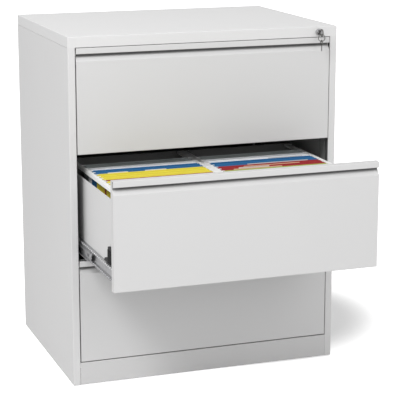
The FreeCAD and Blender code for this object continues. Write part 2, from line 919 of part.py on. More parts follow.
def folder(name, centre_x, y, width):
    """One hanging folder: a closed wedge under two hanger bars whose hooks rest on the rails."""
    reach = column_half - s.folder_side_gap
    top = rail_level - s.sheet
    bottom = s.box_floor + s.folder_drop
    wedge = outline_body(
        f"{name}_wedge",
        "YZ",
        [
            (y, top),
            (y + width, top),
            (y + width / 2 + s.folder_bar / 2, bottom),
            (y + width / 2 - s.folder_bar / 2, bottom),
        ],
        (centre_x - reach, centre_x + reach),
    )
    over = reach + s.folder_hook
    bars = [
        box(
            f"{name}_bar_{side}",
            (centre_x - over, centre_x + over),
            (low, low + s.folder_bar),
            (top + 0.3, top + 0.3 + s.folder_bar),
        )
        for side, low in (("front", y), ("back", y + width - s.folder_bar))
    ]
    stem = box(
        f"{name}_stem",
        (centre_x - reach, centre_x + reach),
        (y, y + width),
        (top - s.folder_bar, top + 0.3),
    )
    return fuse(name, [wedge, stem] + bars)


def make_folders():
    """Folders by colour: (column, first depth, count, spacing) of each stack."""
    column_x = (rail_outer - s.rail_width + s.centre_rail / 2) / 2
    plan = {
        "grey_folders": [("left", 402, 1, 46), ("right", 402, 1, 46)],
        "white_folders": [("left", 368, 2, 16), ("right", 356, 2, 22)],
        "blue_folders": [("left", 316, 2, 25), ("right", 297, 2, 29)],
        "yellow_folders": [("left", 238, 3, 25.5), ("left", 120, 4, 25)],
        "brown_folders": [("left", 222, 1, 15)],
        "red_folders": [("right", 243, 2, 26.5)],
        "green_folders": [("right", 150, 3, 30.5)],
    }
    level = s.plinth_top + pitch
    for label, groups in plan.items():
        made = []
        for group, (column, first, count, spacing) in enumerate(groups):
            x = -column_x if column == "left" else column_x
            for index in range(count):
                name = f"{label}_{group}_{index}"
                made.append(folder(name, x, as_size(first + index * spacing), as_size(spacing - 1.5)))
        node(label, made, front_plane - s.drawer_open, level)


def make_drawers():
    """Make each drawer's pieces once and place them for the three drawers."""
    start = s.front_depth + s.sheet * 4
    strip_span = (start, start + s.strip_pitch * STRIP_BALLS)
    strip_web = -side_x - s.slide_sheet - s.cage_gap
    strip = cage("ball_strip", strip_web, -1, strip_span, STRIP_BALLS, s.strip_pitch)
    cage_start = s.mid_start + s.cage_pitch
    cage_web = -web_x + s.slide_sheet + s.cage_gap
    cage_span = (cage_start, cage_start + s.cage_pitch * CAGE_BALLS)
    rolling = cage("ball_cage", cage_web, 1, cage_span, CAGE_BALLS, s.cage_pitch)

    slides = pair("cabinet_slide", [make_cabinet_slide()])
    middles = pair("slide_middle", [make_slide_mid()])
    cages = pair("rolling_cage", rolling)
    members = pair("drawer_slide", [make_drawer_slide()] + strip)
    sides = pair("drawer_side_pair", [make_drawer_side()])
    levers = pair("lever", [make_lever()])
    skin = [make_front_skin()]
    liner = [make_front_liner()]
    tray = [make_drawer_tray()]
    rails = make_rails()
    catch = [make_catch()]
    for name, level in zones:
        z = s.plinth_top + level
        y = front_plane - opened[name]
        node(f"cabinet_slides_{name}", slides, front_plane, z)
        node(f"slide_middles_{name}", middles, front_plane - opened[name] / 2, z)
        node(f"ball_cages_{name}", cages, front_plane - opened[name] / 4, z)
        node(f"drawer_slides_{name}", members, y, z)
        node(f"drawer_front_{name}", skin, y, z)
        node(f"front_liner_{name}", liner, y, z)
        node(f"drawer_sides_{name}", sides, y, z)
        node(f"drawer_tray_{name}", tray, y, z)
        node(f"hanging_rails_{name}", rails, y, z)
        node(f"release_levers_{name}", levers, y, z)
        node(f"lock_catch_{name}", catch, y, z)


make_top_cover()
make_side_panels()
make_back_and_base()
make_posts()
make_feet()
make_drawers()
make_lock()
make_locking_bar()
make_keys()
make_folders()
doc.recompute()

faults = []
for item in doc.Objects:
    if "Invalid" in item.State or "Error" in item.State:
        faults.append(f"{item.Label}: {item.State}")
    shape = getattr(item, "Shape", None)
    if item in nodes and (shape is None or shape.isNull() or not shape.isValid()):
        faults.append(f"{item.Label}: its shape is not valid")
if faults:
    raise RuntimeError("; ".join(faults))

os.makedirs(OUTPUT, exist_ok=True)
for piece in nodes:
    piece.Shape.exportStep(os.path.join(OUTPUT, piece.Label + ".step"))
    bounds = piece.Shape.BoundBox
    print(
        f"{piece.Label:24s} {len(piece.Shape.Solids):3d} solids "
        f"x {bounds.XMin:8.1f} {bounds.XMax:8.1f}  y {bounds.YMin:8.1f} {bounds.YMax:8.1f}  "
        f"z {bounds.ZMin:8.1f} {bounds.ZMax:8.1f}"
    )
print(len(nodes), "nodes")
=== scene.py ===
"""Dress the hanging file cabinet: finishes, drawer fronts, folders, slides, levers, lock, studio."""

import logging
import math
from collections.abc import Iterator
from dataclasses import dataclass, field
from enum import Enum

import bmesh
import bpy
from mathutils import Matrix, Vector

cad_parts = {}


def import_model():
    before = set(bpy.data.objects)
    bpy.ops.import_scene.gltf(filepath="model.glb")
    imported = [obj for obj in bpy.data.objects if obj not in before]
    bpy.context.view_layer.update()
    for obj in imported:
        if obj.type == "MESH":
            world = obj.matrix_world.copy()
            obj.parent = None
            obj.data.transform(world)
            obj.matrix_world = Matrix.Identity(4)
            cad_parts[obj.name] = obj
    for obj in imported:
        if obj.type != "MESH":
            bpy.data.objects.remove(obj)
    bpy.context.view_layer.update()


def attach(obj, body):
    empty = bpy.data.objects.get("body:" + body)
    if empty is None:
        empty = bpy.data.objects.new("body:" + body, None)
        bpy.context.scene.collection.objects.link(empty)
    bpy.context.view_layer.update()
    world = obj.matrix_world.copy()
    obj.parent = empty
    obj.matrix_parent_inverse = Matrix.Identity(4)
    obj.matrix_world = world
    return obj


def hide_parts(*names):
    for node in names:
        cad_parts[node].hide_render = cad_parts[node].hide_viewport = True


log = logging.getLogger("hanging_file_cabinet")

MM = 0.001
FRONT_Y = -0.130
CABINET_X = 0.400
CABINET_Z = 1.000
OPENING_X = 0.3795
ZONE_FLOOR = {"bottom": 0.070, "middle": 0.370, "top": 0.670}
OPENED = {"bottom": 0.0, "middle": 0.340, "top": 0.0}
# Colour factor at the deepest painted shade in recesses, seams and the carcass inside.
PAINTED_SHADE = 0.13
BACK_INSIDE = 0.4693
ARC_STEPS = 6
CARD_BLEED = 0.3
SLIDE_LEVEL = 0.034
COLUMN_CENTRE = 173.0

Colour = tuple[float, float, float]
Point = tuple[float, float, float]


class Drawer(Enum):
    """The three drawers, from the floor up."""

    BOTTOM = "bottom"
    MIDDLE = "middle"
    TOP = "top"

    @property
    def front(self) -> float:
        """Depth of this drawer's front face in the frame, in metres."""
        return FRONT_Y - OPENED[self.value]

    @property
    def floor(self) -> float:
        """Height of this drawer's zone above the floor, in metres."""
        return ZONE_FLOOR[self.value]

    @property
    def body(self) -> str:
        """Name of the body that this drawer's pieces ride on."""
        return f"drawer_{self.value}"


class Side(Enum):
    """Left or right of the cabinet, seen from the front."""

    LEFT = -1
    RIGHT = 1


# Shader groups shared by the finishes


class Wiring:
    """Adds nodes to a tree, each with its settings, its numbers and its links."""

    def __init__(self, tree: bpy.types.NodeTree) -> None:
        self.tree = tree

    @classmethod
    def group(
        cls, name: str, kind: str, taken: dict[str, str], given: dict[str, str]
    ) -> tuple["Wiring", bpy.types.Node, bpy.types.Node]:
        """Start a node group.

        Args:
            name: The group's name.
            kind: The type of its tree.
            taken: Name and type of each input.
            given: Name and type of each output.

        Returns:
            The wiring of the group, its input node and its output node.
        """
        tree = bpy.data.node_groups.new(name, kind)
        for way, sockets in (("INPUT", taken), ("OUTPUT", given)):
            for label, socket in sockets.items():
                tree.interface.new_socket(label, in_out=way, socket_type=f"NodeSocket{socket}")
        wiring = cls(tree)
        return wiring, wiring.add("NodeGroupInput"), wiring.add("NodeGroupOutput")

    def fill(self, node: bpy.types.Node, taken: dict) -> None:
        """Give inputs of a node a plain value, or link them to another node's output."""
        for socket, value in taken.items():
            if isinstance(value, bpy.types.NodeSocket):
                self.tree.links.new(value, node.inputs[socket])
            else:
                node.inputs[socket].default_value = value

    def add(self, kind: str, taken: dict | None = None, **settings: object) -> bpy.types.Node:
        """Add a node, with what its inputs take and its own settings."""
        node = self.tree.nodes.new(kind)
        for name, value in settings.items():
            setattr(node, name, value)
        self.fill(node, taken or {})
        return node

    def maths(self, operation: str, *taken: object, clamp: bool = False) -> bpy.types.NodeSocket:
        """Add a Math node on the values or outputs, and return its result."""
        inputs = dict(enumerate(taken))
        return self.add("ShaderNodeMath", inputs, operation=operation, use_clamp=clamp).outputs["Value"]


@dataclass(frozen=True)
class Effect:
    """A surface effect: noise that clouds the colour, roughens the face and raises a grain.

    Attributes:
        group: Name of its shader group.
        relief: Name of the input that sets the strength of the grain.
        grain: Scale and detail of the grain's noise.
        stretch: Scale of the grain along each axis, or None where it is even.
        cloud: Scale and detail of the noise that clouds the colour, or None where the grain does.
        shades: Darkest and lightest cloud.
        roughen: Roughness that the grain adds at most.
        height: Height of the grain, in metres.
    """

    group: str
    relief: str
    grain: tuple[float, float]
    stretch: Point | None
    cloud: tuple[float, float] | None
    shades: tuple[float, float]
    roughen: float
    height: float


class Skin(Enum):
    """The effects: baked powder paint, cold-drawn steel and pressed card."""

    POWDER = Effect(
        "powder_coat", "Peel", (650.0, 2.0), None, (3.0, 4.0), (0.985, 1.015), 0.08, 0.0002
    )
    DRAWN = Effect(
        "drawn_metal", "Lines", (1.0, 3.0), (900.0, 12.0, 900.0), (60.0, 2.0), (0.82, 1.12), 0.18, 0.0001
    )
    FIBRE = Effect(
        "pressed_fibre", "Fleck", (1.0, 5.0), (260.0, 700.0, 700.0), None, (0.90, 1.08), 0.1, 0.0002
    )


class ShaderGroup:
    """Shader groups, each built once and placed in every material that uses it."""

    @staticmethod
    def skin(effect: Effect) -> bpy.types.NodeTree:
        """Return the group of an effect, which gives Colour, Roughness and Normal."""
        known = bpy.data.node_groups.get(effect.group)
        if known is not None:
            return known
        wiring, taken, given = Wiring.group(
            effect.group,
            "ShaderNodeTree",
            {"Colour": "Color", "Roughness": "Float", effect.relief: "Float"},
            {"Colour": "Color", "Roughness": "Float", "Normal": "Vector"},
        )
        place = wiring.add("ShaderNodeTexCoord").outputs["Object"]
        along = place
        if effect.stretch is not None:
            stretch = wiring.add("ShaderNodeMapping", {"Vector": place, "Scale": effect.stretch})
            along = stretch.outputs["Vector"]
        scale, detail = effect.grain
        noise = wiring.add("ShaderNodeTexNoise", {"Vector": along, "Scale": scale, "Detail": detail})
        grain = noise.outputs["Fac"]
        cloud = grain
        if effect.cloud is not None:
            scale, detail = effect.cloud
            noise = wiring.add("ShaderNodeTexNoise", {"Vector": place, "Scale": scale, "Detail": detail})
            cloud = noise.outputs["Fac"]
        dark, light = effect.shades
        shade = wiring.add("ShaderNodeMapRange", {"Value": cloud, "To Min": dark, "To Max": light})
        tint = wiring.add(
            "ShaderNodeVectorMath",
            {0: taken.outputs["Colour"], "Scale": shade.outputs["Result"]},
            operation="SCALE",
        )
        rough = wiring.maths("MULTIPLY_ADD", grain, effect.roughen, taken.outputs["Roughness"])
        bump = wiring.add(
            "ShaderNodeBump",
            {"Strength": taken.outputs[effect.relief], "Height": grain, "Distance": effect.height},
        )
        wiring.fill(
            given,
            {"Colour": tint.outputs["Vector"], "Roughness": rough, "Normal": bump.outputs["Normal"]},
        )
        return wiring.tree

    @staticmethod
    def recess() -> bpy.types.NodeTree:
        """Painted shade behind a front face: darker colour in recesses, seams and the inside of the carcass,
        where shade falls.

        Returns:
            The group, which takes Face, Fade, Side, Top and End and gives the shade factor, 1 in the open.
        """
        known = bpy.data.node_groups.get("recess")
        if known is not None:
            return known
        labels = ("Face", "Fade", "Side", "Top", "End")
        wiring, taken, given = Wiring.group(
            "recess", "ShaderNodeTree", dict.fromkeys(labels, "Float"), {"Cover": "Float"}
        )
        maths = wiring.maths
        face, fade, side, top, end = (taken.outputs[label] for label in labels)
        place = wiring.add("ShaderNodeTexCoord").outputs["Object"]
        x, y, z = wiring.add("ShaderNodeSeparateXYZ", {"Vector": place}).outputs
        deep = maths("DIVIDE", maths("SUBTRACT", y, face), fade, clamp=True)
        inside = maths("LESS_THAN", maths("ABSOLUTE", x), side)
        shaded = maths("MULTIPLY", maths("MULTIPLY", deep, inside), maths("LESS_THAN", z, top))
        shaded = maths("MULTIPLY", shaded, maths("LESS_THAN", y, end))
        # Painted shade: the colour factor falls from 1 in the open to the deepest shade inside the region.
        cover = wiring.add("ShaderNodeMapRange", {"Value": shaded, "To Min": 1.0, "To Max": PAINTED_SHADE})
        wiring.fill(given, {"Cover": cover.outputs["Result"]})
        return wiring.tree


@dataclass(frozen=True)
class Finish:
    """One finish of the cabinet or of what it holds.

    Attributes:
        name: The material's name.
        colour: Linear base colour.
        roughness: Lowest roughness of the surface.
        skin: The surface effect.
        relief: Strength of the effect's bump.
        metallic: 1 for bare metal.
        coat: Weight of a clear coat.
        face: Depth of the face behind which shade is painted into the colour.
        fade: Distance over which the painted shade deepens.
        side: Half width of the region of painted shade.
        top: Level under which the shade is painted.
        end: Depth up to which the shade is painted.
        gloss: Strength of the reflection on a surface that isn't metal.
        bleed: Share of the colour's strength in the light that it throws on what stands near it.
    """

    name: str
    colour: Colour
    roughness: float
    skin: Skin
    relief: float = 0.3
    metallic: float = 0.0
    coat: float = 0.0
    face: float | None = None
    fade: float = 0.004
    side: float = CABINET_X
    top: float = CABINET_Z
    end: float = BACK_INSIDE
    gloss: float = 0.5
    bleed: float = 1.0

    def material(self) -> bpy.types.Material:
        """Return this finish's material, made the first time it is asked for."""
        known = bpy.data.materials.get(self.name)
        if known is not None:
            return known
        made = bpy.data.materials.new(self.name)
        made.use_nodes = True
        wiring = Wiring(made.node_tree)
        effect = wiring.add(
            "ShaderNodeGroup",
            {0: (*self.colour, 1.0), 1: self.roughness, 2: self.relief},
            node_tree=ShaderGroup.skin(self.skin.value),
        )
        colour = effect.outputs["Colour"]
        # Shade painted into the colour behind the face: recesses, seams and the carcass inside.
        if self.face is not None:
            region = dict(enumerate((self.face, self.fade, self.side, self.top, self.end)))
            reach = wiring.add("ShaderNodeGroup", region, node_tree=ShaderGroup.recess())
            shaded = {0: colour, "Scale": reach.outputs["Cover"]}
            colour = wiring.add("ShaderNodeVectorMath", shaded, operation="SCALE").outputs["Vector"]
        if self.bleed < 1:
            seen = wiring.add("ShaderNodeLightPath").outputs["Is Diffuse Ray"]
            pale = wiring.add("ShaderNodeMapRange", {"Value": seen, "To Min": 1.0, "To Max": self.bleed})
            grey = {"Saturation": pale.outputs["Result"], "Color": colour}
            colour = wiring.add("ShaderNodeHueSaturation", grey).outputs["Color"]
        wiring.fill(
            made.node_tree.nodes["Principled BSDF"],
            {
                "Metallic": self.metallic,
                "Coat Weight": self.coat,
                "Specular IOR Level": self.gloss,
                "Base Color": colour,
                "Roughness": effect.outputs["Roughness"],
                "Normal": effect.outputs["Normal"],
            },
        )
        return made


# Behind SEAM the carcass paint is darkened: painted shade in the seams round the drawers and in the carcass
# inside.
SEAM = FRONT_Y + 0.002
# One grey paint in lighter and darker copies, the cover lightest and the plinth darkest: painted light and
# shade.
COVER = Finish(
    "cover_powder_coat", (0.72, 0.718, 0.718), 0.42, Skin.POWDER, face=SEAM, side=OPENING_X, top=0.9715
)
SHELL = Finish("shell_powder_coat", (0.69, 0.687, 0.687), 0.42, Skin.POWDER, face=SEAM, side=OPENING_X)
PLINTH = Finish("plinth_powder_coat", (0.63, 0.627, 0.627), 0.42, Skin.POWDER, face=SEAM, top=0.0710)
INNER = Finish("inner_powder_coat", (0.69, 0.687, 0.687), 0.45, Skin.POWDER)
# Posts and bottom pan in a dark grey: painted shade for the dark inside of the carcass, where the real paint
# is the shell's.
SHADED_INSIDE = Finish("hidden_powder_coat", (0.24, 0.24, 0.238), 0.50, Skin.POWDER)
RAIL = Finish("rail_powder_coat", (0.96, 0.96, 0.955), 0.34, Skin.POWDER)
ZINC = Finish("bright_zinc_plate", (0.62, 0.62, 0.63), 0.28, Skin.DRAWN, 0.2, 1.0)
# The drawer trays in a dark grey: painted shade for the dark inside of the drawers.
SHADED_TRAY = Finish("tray_powder_coat", (0.25, 0.25, 0.25), 0.55, Skin.POWDER)
SLIDE = Finish("rolled_slide_steel", (0.50, 0.50, 0.51), 0.24, Skin.DRAWN, 0.3, 1.0)
# Upper rows of slide balls in a plain bright white, not metal: a painted highlight.
HIGHLIT_BALL = Finish("polished_ball_steel", (0.95, 0.95, 0.96), 0.12, Skin.DRAWN, 0.0, 0.0, coat=1.0)
CHROME = Finish("polished_lock_chrome", (0.50, 0.50, 0.51), 0.12, Skin.DRAWN, 0.02, 1.0)
NICKEL = Finish("key_nickel", (0.22, 0.217, 0.21), 0.20, Skin.DRAWN, 0.15, 1.0)
BLACK = Finish("moulded_black", (0.012, 0.012, 0.013), 0.45, Skin.POWDER, 0.5, gloss=0.25)
FOOT = Finish("foot_nylon", (0.03, 0.03, 0.03), 0.50, Skin.POWDER, 0.6)
PAPER = Finish("office_paper", (0.95, 0.96, 0.97), 0.70, Skin.FIBRE, 0.2)
TAB = Finish("index_tab", (0.78, 0.76, 0.70), 0.35, Skin.FIBRE, 0.1)
TAB_BACK = Finish("grey_tab", (0.60, 0.61, 0.61), 0.35, Skin.FIBRE, 0.1)
HANGER = Finish("hanger_bar", (0.88, 0.88, 0.88), 0.30, Skin.DRAWN, 0.1, 0.1)
PEACH_TAB = Finish("peach_tab", (0.78, 0.50, 0.33), 0.35, Skin.FIBRE, 0.1)

def card(name: str, colour: Colour) -> Finish:
    """Return the finish of folder card in one colour."""
    return Finish(f"{name}_pressed_card", colour, 0.62, Skin.FIBRE, bleed=CARD_BLEED)


class CardColour(Enum):
    """The folder colours, each with its finish."""

    GREY = card("grey", (0.42, 0.46, 0.46))
    WHITE = card("white", (0.95, 0.97, 1.0))
    BLUE = card("blue", (0.016, 0.135, 0.330))
    YELLOW = card("yellow", (0.78, 0.66, 0.05))
    BROWN = card("brown", (0.38, 0.10, 0.035))
    RED = card("red", (0.34, 0.014, 0.018))
    GREEN = card("green", (0.38, 0.46, 0.10))


# Mesh helpers


class Workshop:
    """Makes meshes and turns them into pieces that ride on a body."""

    @staticmethod
    def piece(name: str, mesh: bpy.types.Mesh, finish: Finish) -> bpy.types.Object:
        """Put a mesh, in the part's frame, in the scene with a finish."""
        made = bpy.data.objects.new(name, mesh)
        mesh.materials.clear()
        mesh.materials.append(finish.material())
        bpy.context.scene.collection.objects.link(made)
        return made

    @staticmethod
    def finished(name: str, form: bmesh.types.BMesh) -> bpy.types.Mesh:
        """Keep a form as a mesh with its faces turned outwards."""
        bmesh.ops.recalc_face_normals(form, faces=form.faces)
        return Workshop.kept(name, form)

    @staticmethod
    def kept(name: str, form: bmesh.types.BMesh) -> bpy.types.Mesh:
        """Keep a form as a mesh."""
        mesh = bpy.data.meshes.new(name)
        form.to_mesh(mesh)
        form.free()
        return mesh

    @staticmethod
    def bevelled(name: str, outlines: list[tuple[list[Point], Vector]], bevel: float) -> bpy.types.Mesh:
        """Extrude flat outlines and soften their edges.

        Args:
            name: The mesh's name.
            outlines: Corners of each flat outline, and the vector it is extruded along.
            bevel: Width of the softened edges, in metres.

        Returns:
            The mesh.
        """
        form = bmesh.new()
        for corners, along in outlines:
            low = [form.verts.new(corner) for corner in corners]
            face = form.faces.new(low)
            grown = bmesh.ops.extrude_face_region(form, geom=[face])
            moved = [item for item in grown["geom"] if isinstance(item, bmesh.types.BMVert)]
            bmesh.ops.translate(form, verts=moved, vec=along)
        bmesh.ops.recalc_face_normals(form, faces=form.faces)
        if bevel > 0:
            bmesh.ops.bevel(
                form,
                geom=[edge for edge in form.edges if edge.calc_face_angle(0) > 0.5],
                offset=bevel,
                segments=2,
                profile=0.5,
                affect="EDGES",
            )
        return Workshop.kept(name, form)

    @staticmethod
    def turned(
        name: str, profile: list[tuple[float, float]], centre: Point, axis: Vector, steps: int = 48
    ) -> bpy.types.Mesh:
        """Turn a profile about an axis, as on a lathe.

        Args:
            name: The mesh's name.
            profile: Radius and distance along the axis, from one end to the other.
            centre: A point on the axis.
            axis: The direction in which the distances grow.
            steps: Number of faces round the axis.

        Returns:
            A closed mesh.
        """
        turn = Vector((0, 0, 1)).rotation_difference(axis).to_matrix()
        form = bmesh.new()
        rings = []
        for radius, along in profile:
            if radius < 1e-7:
                rings.append([form.verts.new(Vector(centre) + turn @ Vector((0, 0, along)))])
                continue
            ring = []
            for step in range(steps):
                angle = math.tau * step / steps
                offset = Vector((radius * math.cos(angle), radius * math.sin(angle), along))
                ring.append(form.verts.new(Vector(centre) + turn @ offset))
            rings.append(ring)
        for lower, upper in zip(rings, rings[1:]):
            for step in range(steps):
                nearby = (step + 1) % steps
                corners = [
                    lower[step % len(lower)],
                    lower[nearby % len(lower)],
                    upper[nearby % len(upper)],
                    upper[step % len(upper)],
                ]
                distinct = list(dict.fromkeys(corners))
                if len(distinct) > 2:
                    form.faces.new(distinct)
        mesh = Workshop.finished(name, form)
        mesh.shade_smooth()
        mesh.set_sharp_from_angle(angle=math.radians(35))
        return mesh


@dataclass
class RowOfCopies:
    """A Geometry Nodes tree that repeats a mesh along a straight row.

    Attributes:
        name: Name of the finished mesh.
        unit: The mesh that is repeated, in the place of the first copy.
        count: Number of copies.
        step: Offset from one copy to the next.
        finish: Finish of the copies.
        jitter: Largest random shift of a copy, each way.
        seed: Seed of the shifts.
    """

    name: str
    unit: bpy.types.Mesh
    count: int
    step: Vector
    finish: Finish
    jitter: Vector = field(default_factory=lambda: Vector((0, 0, 0)))
    seed: int = 0

    @staticmethod
    def tree() -> bpy.types.NodeTree:
        """Build the tree once: a line of points, a copy on each, realised and given its finish."""
        known = bpy.data.node_groups.get("row_of_copies")
        if known is not None:
            return known
        wiring, taken, given = Wiring.group(
            "row_of_copies",
            "GeometryNodeTree",
            {
                "Unit": "Geometry",
                "Count": "Int",
                "Step": "Vector",
                "Jitter": "Vector",
                "Seed": "Int",
                "Finish": "Material",
            },
            {"Row": "Geometry"},
        )
        add = wiring.add
        unit, count, step, jitter, seed, finish = list(taken.outputs)[:6]
        line = add("GeometryNodeMeshLine", {"Count": count, "Offset": step}, mode="OFFSET")
        back = add("ShaderNodeVectorMath", {0: jitter, "Scale": -1.0}, operation="SCALE")
        spread = {"Min": back.outputs["Vector"], "Max": jitter, "Seed": seed}
        random = add("FunctionNodeRandomValue", spread, data_type="FLOAT_VECTOR")
        moved = {"Geometry": line.outputs["Mesh"], "Offset": random.outputs["Value"]}
        shift = add("GeometryNodeSetPosition", moved)
        placed = {"Points": shift.outputs["Geometry"], "Instance": unit}
        copies = add("GeometryNodeInstanceOnPoints", placed)
        solid = add("GeometryNodeRealizeInstances", {"Geometry": copies.outputs["Instances"]})
        painted = {"Geometry": solid.outputs["Geometry"], "Material": finish}
        dress = add("GeometryNodeSetMaterial", painted)
        wiring.fill(given, {"Row": dress.outputs["Geometry"]})
        return wiring.tree

    def build(self) -> bpy.types.Object:
        """Run the tree on the unit and keep its result as a plain mesh."""
        maker = Workshop.piece(self.name + "_maker", self.unit, self.finish)
        modifier = maker.modifiers.new("row", "NODES")
        modifier.node_group = self.tree()
        values = {
            "Count": self.count,
            "Step": self.step,
            "Jitter": self.jitter,
            "Seed": self.seed,
            "Finish": self.finish.material(),
        }
        for socket in modifier.node_group.interface.items_tree:
            if socket.name in values and socket.in_out == "INPUT":
                modifier[socket.identifier] = values[socket.name]
        ready = maker.evaluated_get(bpy.context.evaluated_depsgraph_get())
        mesh = bpy.data.meshes.new_from_object(ready)
        mesh.name = self.name
        maker.modifiers.clear()
        bpy.data.objects.remove(maker)
        return Workshop.piece(self.name, mesh, self.finish)


# The cabinet's own pieces


@dataclass
class PaintedSteel:
    """Finishes of the sheet metal that keeps the shape of its solids."""

    finishes: dict[str, Finish] = field(
        default_factory=lambda: {
            "top_cover": COVER,
            "side_panel_left": SHELL,
            "side_panel_right": SHELL,
            "back_panel": SHELL,
            "bottom_pan": SHADED_INSIDE,
            "plinth_front": PLINTH,
            "front_posts": SHADED_INSIDE,
            "rear_posts": SHADED_INSIDE,
            "foot_brackets": ZINC,
            "lock_nut": ZINC,
            "lock_cam": ZINC,
            "bar_guides": ZINC,
            "locking_bar": ZINC,
            "levelling_feet": FOOT,
            "lock_housing": CHROME,
            "lock_plug": CHROME,
            "key": NICKEL,
            "key_ring": NICKEL,
        }
    )
    by_drawer: dict[str, Finish] = field(
        default_factory=lambda: {
            "front_liner": INNER,
            "drawer_sides": INNER,
            "drawer_tray": SHADED_TRAY,
            "hanging_rails": RAIL,
            "cabinet_slides": SLIDE,
            "slide_middles": SLIDE,
            "drawer_slides": SLIDE,
            "ball_cages": SLIDE,
            "release_levers": BLACK,
            "lock_catch": ZINC,
        }
    )

    def dress(self) -> None:
        """Give each solid its finish."""
        wanted = dict(self.finishes)
        for base, finish in self.by_drawer.items():
            for drawer in Drawer:
                wanted[f"{base}_{drawer.value}"] = finish
        for node, finish in wanted.items():
            solid = bpy.data.objects.get(node)
            if solid is None:
                log.warning("no node %s", node)
                continue
            for slot in solid.material_slots:
                slot.material = finish.material()
            log.info("dressed %s with %s", node, finish.name)


@dataclass
class DrawerFront:
    """A drawer front bent from one sheet: face, slanted grip, and hemmed lip, with closed ends."""

    drawer: Drawer

    half: float = 0.3765
    low: float = 0.0030
    high: float = 0.2978
    depth: float = 0.0200
    sheet: float = 0.0009
    lip: float = 0.0155
    hem: float = 0.0020
    slot: float = 0.0210
    grip: float = 0.0120
    rise: float = 0.0150
    bend: float = 0.0016
    shade_from: float = 0.0075

    def finish(self, part: str, shade_from: float, top: float) -> Finish:
        """Return a finish of this front, with painted shade in its hollow, darker than its face.

        Args:
            part: The part that is painted.
            shade_from: Depth behind the face where the painted shade starts.
            top: Level in the drawer's zone under which the shade is painted.

        Returns:
            The finish.
        """
        return Finish(
            f"{self.drawer.value}_{part}_powder_coat",
            # A darker copy of the cabinet's grey paint: painted shade on the fronts.
            (0.65, 0.648, 0.648),
            0.42,
            Skin.POWDER,
            face=self.drawer.front + shade_from,
            side=self.half - self.sheet * 2,
            top=self.drawer.floor + top,
        )

    def _rounded(self, path: list[tuple[float, float]], radii: dict[int, float]) -> list[tuple[float, float]]:
        """Round corners of a path with arcs.

        Args:
            path: Corners as depth and level.
            radii: Radius at the numbered corners.

        Returns:
            The path with a short arc in place of each rounded corner.
        """
        made = []
        for number, corner in enumerate(path):
            if number not in radii:
                made.append(corner)
                continue
            here = Vector(corner)
            back = (Vector(path[number - 1]) - here).normalized()
            ahead = (Vector(path[number + 1]) - here).normalized()
            half_angle = back.angle(ahead) / 2
            reach = radii[number] / math.tan(half_angle)
            middle = here + (back + ahead).normalized() * (radii[number] / math.sin(half_angle))
            start = here + back * reach - middle
            end = here + ahead * reach - middle
            for share in range(ARC_STEPS + 1):
                along = start.lerp(end, share / ARC_STEPS).normalized() * radii[number]
                made.append(tuple(middle + along))
        return made

    def _face_path(self) -> list[tuple[float, float]]:
        """Return the outer side of the sheet, from the bottom flange up to the back of the lip."""
        edge = self.high - self.lip - self.slot
        corners = [
            (self.depth, self.low),
            (0.0, self.low),
            (0.0, edge),
            (self.grip, edge + self.rise),
            (self.grip, self.high - self.sheet * 1.2),
        ]
        return self._rounded(corners, {1: self.bend, 2: self.bend * 1.6, 3: self.bend})

    def _lip_path(self) -> list[tuple[float, float]]:
        """Return the outer side of the lip, from its hem over its top to the back."""
        low = self.high - self.lip
        corners = [
            (self.hem, low + self.lip * 0.7),
            (self.hem, low),
            (0.0, low),
            (0.0, self.high),
            (self.grip + self.sheet, self.high),
        ]
        return self._rounded(corners, {1: self.hem * 0.45, 2: self.hem * 0.45, 3: self.bend})

    def _bent(self, name: str, path: list[tuple[float, float]], finish: Finish) -> bpy.types.Object:
        """Bend a sheet along a path of depths and levels, and make it as wide as the front."""
        form = bmesh.new()
        rows = []
        for x in (-self.half, self.half):
            rows.append(
                [form.verts.new((x, self.drawer.front + y, self.drawer.floor + z)) for y, z in path]
            )
        for number in range(len(path) - 1):
            form.faces.new((rows[0][number], rows[1][number], rows[1][number + 1], rows[0][number + 1]))
        mesh = Workshop.finished(name, form)
        piece = Workshop.piece(name, mesh, finish)
        wall = piece.modifiers.new("wall", "SOLIDIFY")
        wall.thickness = self.sheet
        wall.offset = 0.0
        wall.use_even_offset = True
        return piece

    def _end(self, side: Side, finish: Finish) -> bpy.types.Object:
        """Make the plate that closes one end of the front."""
        edge = self.high - self.lip - self.slot
        inset = self.sheet * 0.6
        outline = [
            (inset, self.low + inset),
            (self.depth, self.low + inset),
            (self.depth, self.high - self.sheet),
            (self.grip + inset, self.high - self.sheet),
            (self.grip + inset, edge + self.rise),
            (inset, edge),
        ]
        x = side.value * (self.half - self.sheet)
        corners = [(x, self.drawer.front + y, self.drawer.floor + z) for y, z in outline]
        name = f"{self.drawer.value}_front_end_{side.name.lower()}"
        mesh = Workshop.bevelled(name, [(corners, Vector((side.value * self.sheet, 0, 0)))], self.sheet * 0.3)
        return Workshop.piece(name, mesh, finish)

    def build(self) -> None:
        """Make the front and hide the solid that it replaces."""
        inside = self.high - self.sheet / 2
        # Shade is painted into the grip hollow of the face and behind the lip's front.
        face = self.finish("front", self.shade_from, inside)
        shut = OPENED[self.drawer.value] == 0.0
        lip = self.finish("lip", self.hem, self.high * 2 if shut else inside)
        pieces = [
            self._bent(f"{self.drawer.value}_front_face", self._face_path(), face),
            self._bent(f"{self.drawer.value}_front_lip", self._lip_path(), lip),
            self._end(Side.LEFT, face),
            self._end(Side.RIGHT, face),
        ]
        for piece in pieces:
            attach(piece, self.drawer.body)
        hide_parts(f"drawer_front_{self.drawer.value}")
        log.info("made the %s drawer front", self.drawer.value)


